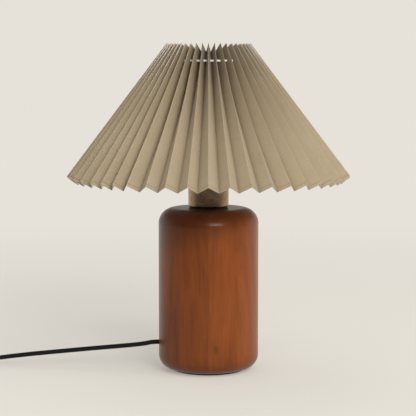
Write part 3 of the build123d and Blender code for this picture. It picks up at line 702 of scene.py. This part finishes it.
strands = [twisted_strand(f"drawcord_strand_{index + 1}", index * 2 * math.pi / 3)
           for index in range(3)]
bpy.ops.object.select_all(action="DESELECT")
for strand in strands:
    strand.select_set(True)
bpy.context.view_layer.objects.active = strands[0]
bpy.ops.object.join()
twisted_cord = bpy.context.object
twisted_cord.name = "twisted_drawcord"


# %% White cord material
def soft_material(name, dark, light, scale, roughness, depth, **fixed):
    """A finish with one even grain in its colour and relief, and slow smears in its gloss."""
    material, tree, shader = new_material(name, **fixed)
    place = object_place(tree)
    grain = place_group(tree, grain_group, Vector=place, Scale=scale, Stretch=1.0, Bend=0.1)
    smears = place_group(tree, handling_group, Vector=place, Roughness=roughness, Variation=0.18)
    toned = mix_colours(tree, grain["Value"], dark, light)
    dusty = math_node(tree, "MULTIPLY", smears["Dust"], 0.25)
    join(tree, mix_colours(tree, dusty, toned, tuple(min(1.0, 0.5 * v + 0.2) for v in light)),
         shader.inputs["Base Color"])
    join(tree, smears["Roughness"], shader.inputs["Roughness"])
    bump(tree, shader, grain["Value"], 0.35, depth)
    return material


white_cord = soft_material("white_twisted_cord", (0.74, 0.73, 0.71), (0.88, 0.87, 0.85), 2600.0,
                           0.8, 0.0002, Sheen_Weight=0.3)
twisted_cord.data.materials.append(white_cord)
finish_piece(twisted_cord, "paper_shade", "white_textile", "drawcord", smooth=60)

# %% [markdown]
# ## Stained wood with a satin lacquer
# The base is glued from boards and turned on a lathe, so the grain runs upright and each board
# has its own tone. The boards are 34 mm thick and their glue lines show as faint upright changes
# of tone. Over a broad, wavy figure lie fine fibres and short dark pores; one small knot sits low
# on the front. Both rounded edges are darkened with painted shade: the top, under the lampshade,
# most on the left, and the foot, just above the floor. The lacquer is a clear coat: it gives the
# pale reflections at the sides.

# %% Wood material
board_thickness, board_shift = 0.034, 0.3
knot_place, knot_squeeze = (0.009, -0.059, 0.034), (1.0, 1.0, 0.62)


def wood_material():
    material, tree, shader = new_material(
        "stained_wood_lacquer", Coat_Weight=0.52, Coat_Roughness=0.27, Specular_IOR_Level=0.06)
    place = object_place(tree)
    split = add(tree, "ShaderNodeSeparateXYZ")
    join(tree, place, split.inputs[0])
    board = math_node(tree, "FLOOR", math_node(tree, "DIVIDE", split.outputs["X"], board_thickness))
    own = add(tree, "ShaderNodeTexWhiteNoise", noise_dimensions="1D")
    join(tree, board, own.inputs["W"])
    shifted = add(tree, "ShaderNodeVectorMath", operation="MULTIPLY_ADD")
    join(tree, own.outputs["Color"], shifted.inputs[0])
    shifted.inputs[1].default_value = (board_shift, board_shift, board_shift)
    join(tree, place, shifted.inputs[2])
    figure, fibre, pore = (
        place_group(tree, grain_group, Vector=shifted.outputs[0], Scale=scale, Stretch=stretch,
                    Bend=bend)["Value"]
        for scale, stretch, bend in ((38.0, 0.16, 1.6), (900.0, 0.022, 0.1), (1500.0, 0.05, 0.0)))
    own_tone = math_node(tree, "MULTIPLY_ADD", board, 0.12, 0.26)
    tone = math_node(tree, "MULTIPLY_ADD", fibre, 0.30, own_tone)
    tone = math_node(tree, "MULTIPLY_ADD", figure, 0.38, tone)
    ground = mix_colours(tree, tone, (0.084, 0.0155, 0.0015), (0.285, 0.070, 0.007))
    pores = span(tree, pore, 0.22, 0.05, 0.0, 0.45)
    ground = mix_colours(tree, pores, ground, (0.060, 0.018, 0.006))
    from_knot = add(tree, "ShaderNodeVectorMath", operation="SUBTRACT")
    join(tree, place, from_knot.inputs[0])
    from_knot.inputs[1].default_value = knot_place
    flat = add(tree, "ShaderNodeVectorMath", operation="MULTIPLY")
    join(tree, from_knot.outputs[0], flat.inputs[0])
    flat.inputs[1].default_value = knot_squeeze
    away = add(tree, "ShaderNodeVectorMath", operation="LENGTH")
    join(tree, flat.outputs[0], away.inputs[0])
    knot = span(tree, away.outputs["Value"], 0.0042, 0.0008, 0.0, 0.6)
    ground = mix_colours(tree, knot, ground, (0.070, 0.020, 0.008))
    # Painted shade: darker at the top rounding, starting lower on the left, and near the foot.
    leaning = math_node(tree, "MULTIPLY_ADD", split.outputs["X"], -0.40, split.outputs["Z"])
    painted_shade_top_and_foot = math_node(tree, "MAXIMUM", span(tree, leaning, 0.156, 0.192, 0.0, 0.72),
                       span(tree, split.outputs["Z"], 0.026, 0.004, 0.0, 0.42))
    ground = mix_colours(tree, painted_shade_top_and_foot, ground, (0.060, 0.014, 0.003))
    join(tree, ground, shader.inputs["Base Color"])
    smears = place_group(tree, handling_group, Vector=place, Roughness=0.42, Variation=0.12)
    join(tree, smears["Roughness"], shader.inputs["Roughness"])
    bump(tree, shader, fibre, 0.12, 0.0001)
    return material


stained_wood = wood_material()
print("material", stained_wood.name)


# %% [markdown]
# ## Brushed bronze
# The neck is a drawn cup of aged, brushed metal. Brushing leaves fine level lines, so light from
# the studio spreads upwards and downwards and shows as upright bands. The grain group, with its
# pattern pressed flat along Z, gives those lines to the relief and to the gloss. A thin lacquer
# over the bronze lightens its edges. The other metals take the same grain, even and finer.

# %% Brushed metal material
def brushed_material(name, dark, light, line_scale, stretch, roughness, depth, **fixed):
    material, tree, shader = new_material(name, Metallic=1.0, **fixed)
    place = object_place(tree)
    lines = place_group(
        tree, grain_group, Vector=place, Scale=line_scale, Stretch=stretch, Bend=0.0)
    patina = place_group(tree, grain_group, Vector=place, Scale=60.0, Stretch=1.0, Bend=0.6)
    mask = math_node(tree, "MULTIPLY_ADD", lines["Value"], 0.4, math_node(
        tree, "MULTIPLY", patina["Value"], 0.6))
    join(tree, mix_colours(tree, mask, dark, light), shader.inputs["Base Color"])
    smears = place_group(tree, handling_group, Vector=place, Roughness=roughness, Variation=0.15)
    rough = math_node(tree, "MULTIPLY_ADD", lines["Value"], 0.10, smears["Roughness"])
    join(tree, rough, shader.inputs["Roughness"])
    bump(tree, shader, lines["Value"], 0.5, depth)
    return material


bronze = brushed_material("aged_bronze", (0.122, 0.074, 0.038), (0.380, 0.267, 0.167), 55.0, 60.0,
                          0.17, 0.00003, Coat_Weight=0.15, Coat_Roughness=0.06)
zinc = brushed_material("zinc_plated_steel", (0.42, 0.43, 0.43), (0.62, 0.62, 0.60), 500.0, 1.0,
                        0.30, 0.00003)
nickel = brushed_material("nickel_pin", (0.58, 0.56, 0.52), (0.72, 0.70, 0.66), 700.0, 1.0,
                          0.18, 0.00002)
brass = brushed_material("yellow_brass", (0.62, 0.42, 0.16), (0.78, 0.57, 0.26), 500.0, 1.0,
                         0.22, 0.00002)
bulb_metal = brushed_material("bulb_cap_metal", (0.56, 0.56, 0.57), (0.74, 0.74, 0.74), 400.0, 1.0,
                              0.25, 0.00002)
print("metals:", bronze.name, zinc.name, nickel.name, brass.name, bulb_metal.name)

# %% [markdown]
# ## Plastics, felt, rubber, ceramic and enamel
# These finishes differ in colour, in how coarse their surface is and in their gloss. Moulded
# plastic has a fine spark-eroded grain, felt a deep fuzz, glazed ceramic almost none.

# %% The remaining finishes
black_felt = soft_material("black_felt", (0.006, 0.006, 0.006), (0.020, 0.020, 0.020), 1600.0,
                           0.9, 0.0004, Sheen_Weight=0.2)
black_rubber = soft_material("black_rubber", (0.010, 0.010, 0.010), (0.022, 0.022, 0.022), 900.0,
                             0.55, 0.00006)
black_plastic = soft_material("black_plastic", (0.012, 0.012, 0.013), (0.024, 0.024, 0.026), 1800.0,
                              0.42, 0.00005)
black_gloss = soft_material("black_gloss_plastic", (0.010, 0.010, 0.011), (0.018, 0.018, 0.020),
                            300.0, 0.22, 0.00002, Coat_Weight=0.2)
core_plastic = soft_material("core_insulation", (0.08, 0.20, 0.46), (0.12, 0.28, 0.58), 900.0,
                             0.45, 0.00003)
ceramic = soft_material("white_ceramic", (0.76, 0.74, 0.70), (0.86, 0.85, 0.82), 250.0,
                        0.28, 0.00004)
white_wire = soft_material("white_powder_coat", (0.74, 0.74, 0.72), (0.84, 0.84, 0.82), 1400.0,
                           0.45, 0.00006)
white_plastic = soft_material("white_bulb_plastic", (0.80, 0.80, 0.78), (0.88, 0.88, 0.87), 500.0,
                              0.35, 0.00003)
opal = soft_material("opal_dome", (0.84, 0.84, 0.82), (0.92, 0.92, 0.90), 120.0, 0.30, 0.00002,
                     Subsurface_Weight=0.25, Subsurface_Radius=(0.004, 0.004, 0.004))
black_strap = soft_material("black_strap", (0.003, 0.003, 0.003), (0.012, 0.012, 0.013), 1100.0,
                            0.85, 0.0003, Specular_IOR_Level=0.2)
print("finishes ready")


# %% [markdown]
# ## Tapered strain reliefs
# Where the flex enters the switch and the plug, a soft sleeve stops it from kinking. It is
# thick at the housing, thin at the cord, and cut by grooves so that it bends evenly. A cone is
# divided into rings; every third ring of faces is then pressed in towards the middle.

# %% One relief for each of the three places
relief_length, relief_root, relief_tip = 0.020, 0.0048, 0.0037
ring_count, groove_depth, cap_middle = 20, 0.0008, 0.002


def make_relief(name, place, toward):
    piece = start_piece(name, bpy.ops.mesh.primitive_cone_add, vertices=32, radius1=relief_root,
                        radius2=relief_tip, depth=relief_length, location=(0, 0, relief_length / 2))
    bpy.ops.object.transform_apply(location=True)
    select_where(piece, "EDGE", lambda ends: abs(ends[0].z - ends[1].z) > relief_length / 2)
    bpy.ops.mesh.subdivide(number_cuts=ring_count - 1)
    pitch = relief_length / ring_count

    def groove(place):
        return int(place.z / pitch) % 3 == 2 and pitch < place.z < relief_length - pitch

    select_where(piece, "FACE",
                 lambda place: groove(place) and math.hypot(place.x, place.y) > cap_middle)
    bpy.ops.mesh.extrude_region_shrink_fatten(
        TRANSFORM_OT_shrink_fatten={"value": -groove_depth, "use_even_offset": True})
    outward(piece)
    bpy.ops.object.mode_set(mode="OBJECT")
    soften = piece.modifiers.new("soft_edges", "BEVEL")
    soften.width, soften.segments, soften.limit_method = 0.00018, 2, "ANGLE"
    bpy.ops.object.modifier_apply(modifier=soften.name)
    piece.rotation_euler = (0, math.radians(90 * toward), 0)
    piece.location = place
    return piece


reliefs = [make_relief("switch_relief_in", (-0.384, 0.014, 0.006), 1),
           make_relief("switch_relief_out", (-0.444, 0.014, 0.006), -1),
           make_relief("plug_relief_sleeve", (-0.398, 0.140, 0.00685), -1)]
for relief in reliefs:
    relief.data.materials.append(black_rubber)
finish_piece(reliefs[0], "stand", "black_rubber", "switch_reliefs")
finish_piece(reliefs[1], "stand", "black_rubber", "switch_reliefs")
finish_piece(reliefs[2], "stand", "black_rubber", "plug_relief")

# %% [markdown]
# ## The coil's tie
# A soft woven strap with a hook-and-loop end holds the put-away turns. It starts as a box round
# the bundle; its two open ends are taken off, its corners are rounded, and Solidify gives the
# strap its thickness. The free end is a second, shorter layer on the strap's top and outside.

# %% Strap round the coil
tie_angle, bundle_radius = math.radians(-60), 0.0311
tie_place = coil_middle + bundle_radius * Vector((math.cos(tie_angle), math.sin(tie_angle), 0))
tie_low, tie_high, tie_half, tie_width, tie_cloth = 0.0004, 0.0184, 0.0094, 0.009, 0.0008
flap_lift = 0.0009


def make_band(name, low, high, half, width, round_by, keep):
    middle = (low + high) / 2
    band = start_piece(name, bpy.ops.mesh.primitive_cube_add, size=1, location=(0, 0, middle),
                       scale=(2 * half, width, high - low))
    bpy.ops.object.transform_apply(location=True, scale=True)
    select_where(band, "FACE", lambda place: abs(place.y) > width * 0.4 or not keep(place))
    bpy.ops.mesh.delete(type="FACE")
    select_where(band, "EDGE", lambda ends: abs(ends[0].y - ends[1].y) > width * 0.5)
    bpy.ops.mesh.bevel(offset=round_by, segments=6, profile=0.55)
    outward(band)
    bpy.ops.object.mode_set(mode="OBJECT")
    cloth = band.modifiers.new("cloth", "SOLIDIFY")
    cloth.thickness, cloth.offset = tie_cloth, -1
    rolled = band.modifiers.new("rolled_edges", "BEVEL")
    rolled.width, rolled.segments = 0.0003, 2
    for modifier_name in (cloth.name, rolled.name):
        bpy.ops.object.modifier_apply(modifier=modifier_name)
    return band


strap = make_band("tie_strap", tie_low, tie_high, tie_half, tie_width, 0.0045, lambda place: True)
flap = make_band("tie_flap", tie_low, tie_high + flap_lift, tie_half + flap_lift, tie_width * 0.96,
                 0.0049, lambda place: place.z > tie_high or place.x > tie_half)
for piece in (strap, flap):
    piece.data.materials.append(black_strap)
    piece.rotation_euler = (0, 0, tie_angle)
    piece.location = tie_place
    finish_piece(piece, "stand", "black_strap", "coil_tie")

# %% [markdown]
# ## Finishes of the measured pieces
# The measured pieces keep their shapes. Each gets the finish of what it is made of; most follow
# from the slot that the record names.

# %% Finishes on the measured pieces
finish_of_slot = {
    "stained_wood": stained_wood, "black_felt": black_felt, "zinc_steel": zinc,
    "black_rubber": black_rubber, "brushed_bronze": bronze, "black_plastic": black_plastic,
    "white_ceramic": ceramic, "contact_brass": brass, "black_textile": black_braid,
    "core_plastic": core_plastic, "white_wire": white_wire, "khaki_paper": khaki_paper,
    "white_textile": white_cord, "bulb_metal": bulb_metal, "white_plastic": white_plastic,
    "opal_plastic": opal, "black_strap": black_strap, "black_gloss": black_gloss,
    "pin_nickel": nickel,
}
lead_cloth = soft_material("inner_lead_cloth", (0.005, 0.005, 0.006), (0.024, 0.024, 0.028), 1500.0,
                           0.8, 0.0003, Sheen_Weight=0.2)
for subpart in frame["record"]["subparts"]:
    name = subpart.get("name") or subpart["node"]
    finish = finish_of_slot[subpart["material_slot"]]
    if name == "inner_lead":
        finish = lead_cloth
    for material_slot in nodes[name].material_slots:
        material_slot.material = finish
print("finished", len(nodes), "measured pieces")

# %% [markdown]
# ## The flex in two pieces
# The flex is two tubes: the lead from the base to the switch, and the rest, from the switch
# through the coil to the plug.

print("declared", flex_lead.name, "and", flex_rest.name)

# %% [markdown]
# ## Floor and background
# The studio's paper sweep is pale and even, with one soft shadow. The floor is a large sheet.
# For the camera it shows its own shading near the lamp, softened by a third of plain colour, and
# fades into the background's plain colour further away, so no horizon shows. Polished surfaces
# see it dimmer in front of the lamp, like the rest of the room. For all other rays it is plain
# pale paper.

# %% Floor
background = (0.791, 0.759, 0.694)
bright_sheet = (0.831, 0.808, 0.752)
fade_start, fade_end, plain_near = 0.60, 1.60, 0.36


def seen_directly(tree):
    """Two masks: camera rays, and those together with mirrored rays and rays through glass."""
    seen = add(tree, "ShaderNodeLightPath").outputs
    polished = math_node(tree, "MAXIMUM", seen["Is Glossy Ray"], seen["Is Transmission Ray"])
    return seen["Is Camera Ray"], math_node(tree, "MAXIMUM", seen["Is Camera Ray"], polished)


floor = start_piece("studio_floor", bpy.ops.mesh.primitive_circle_add, vertices=96, radius=6,
                    fill_type="NGON", location=(0, 0, -0.0002))
paper, tree, shader = new_material("studio_paper", Roughness=0.9, Specular_IOR_Level=0.0)
shader.inputs["Base Color"].default_value = (*background, 1)
plain = add(tree, "ShaderNodeEmission", {"Color": (*background, 1), "Strength": 1.0})
place = object_place(tree)
away = add(tree, "ShaderNodeVectorMath", operation="LENGTH")
join(tree, place, away.inputs[0])
fade = span(tree, away.outputs["Value"], fade_start, fade_end, plain_near, 1.0)
by_camera, shown = seen_directly(tree)
split = add(tree, "ShaderNodeSeparateXYZ")
join(tree, place, split.inputs[0])
mirrored = span(tree, split.outputs["Y"], -1.30, 0.30, 0.22, 1.3)
dimmed = math_node(tree, "MULTIPLY", mirrored, math_node(tree, "SUBTRACT", 1.0, by_camera))
join(tree, math_node(tree, "MAXIMUM", dimmed, by_camera), plain.inputs["Strength"])
plain_share = math_node(tree, "MULTIPLY", fade, shown)
bright = add(tree, "ShaderNodeBsdfDiffuse", {"Color": (*bright_sheet, 1)})
near = add(tree, "ShaderNodeMixShader")
join(tree, shown, near.inputs[0])
join(tree, shader.outputs[0], near.inputs[1])
join(tree, bright.outputs[0], near.inputs[2])
blend = add(tree, "ShaderNodeMixShader")
join(tree, plain_share, blend.inputs[0])
join(tree, near.outputs[0], blend.inputs[1])
join(tree, plain.outputs[0], blend.inputs[2])
join(tree, blend.outputs[0], tree.nodes["Material Output"].inputs["Surface"])
floor.data.materials.append(paper)
print("the floor fades to plain colour from", fade_start, "to", fade_end, "m")

# %% [markdown]
# The world is the room. The camera sees its plain background colour. Polished surfaces see the
# same pale sweep behind the lamp, and a dimmer room in front of it, where the camera stands. All
# other rays get an even, slightly warm fill.

# %% World
world = bpy.data.worlds.new("studio_world")
bpy.context.scene.world = world
world.use_nodes = True
sky = world.node_tree
fill = sky.nodes["Background"]
fill.inputs["Color"].default_value = (1.0, 0.98, 0.95, 1)
fill.inputs["Strength"].default_value = 0.50
direction = add(sky, "ShaderNodeSeparateXYZ")
join(sky, add(sky, "ShaderNodeTexCoord").outputs["Generated"], direction.inputs[0])
room = span(sky, direction.outputs["Y"], -0.35, 0.40, 0.02, 1.0)
by_camera, shown = seen_directly(sky)
backdrop = add(sky, "ShaderNodeBackground", {"Color": (*background, 1)})
join(sky, math_node(sky, "MAXIMUM", by_camera, room), backdrop.inputs["Strength"])
blend = add(sky, "ShaderNodeMixShader")
join(sky, shown, blend.inputs[0])
join(sky, fill.outputs[0], blend.inputs[1])
join(sky, backdrop.outputs[0], blend.inputs[2])
join(sky, blend.outputs[0], sky.nodes["World Output"].inputs["Surface"])
print("world fill", fill.inputs["Strength"].default_value)

# %% [markdown]
# ## Lamps
# Large softboxes far away give even light. The key stands a little right of the camera: it
# lights the wide faces of the left-hand pleats and throws the soft shadow back to the left. A
# higher one, further right, softens that shadow; the side light brightens the right-hand folds,
# and one behind keeps the back from going dark. Each lamp is placed by its direction, and its
# power follows from the light that it should give. Of the lamps, only the key shows in polished
# surfaces.

# %% Softboxes
lamp_distance, lamp_colour = 4.5, (1.0, 0.985, 0.96)
lamp_target = Vector((0, 0, 0.2))


def softbox(name, azimuth, elevation, size, level):
    data = bpy.data.lights.new(name, "AREA")
    data.shape, data.size, data.size_y = "RECTANGLE", *size
    data.energy, data.color = level * math.pi ** 2 * lamp_distance ** 2, lamp_colour
    lamp = bpy.data.objects.new(name, data)
    bpy.context.scene.collection.objects.link(lamp)
    a, e = math.radians(azimuth), math.radians(elevation)
    lamp.location = lamp_target + lamp_distance * Vector((
        math.cos(e) * math.sin(a), -math.cos(e) * math.cos(a), math.sin(e)))
    lamp.rotation_euler = (lamp_target - lamp.location).to_track_quat("-Z", "Y").to_euler()
    print(name, "gives", round(data.energy), "W")
    return lamp


softbox("key_softbox", 18, 23, (1.8, 1.2), 0.42)
high = softbox("high_softbox", 34, 42, (3.0, 2.5), 0.28)
side = softbox("side_softbox", 74, 26, (2.2, 2.2), 0.13)
back = softbox("back_softbox", 200, 50, (2.6, 2.6), 0.10)
for lamp in (high, side, back):
    lamp.visible_glossy = False
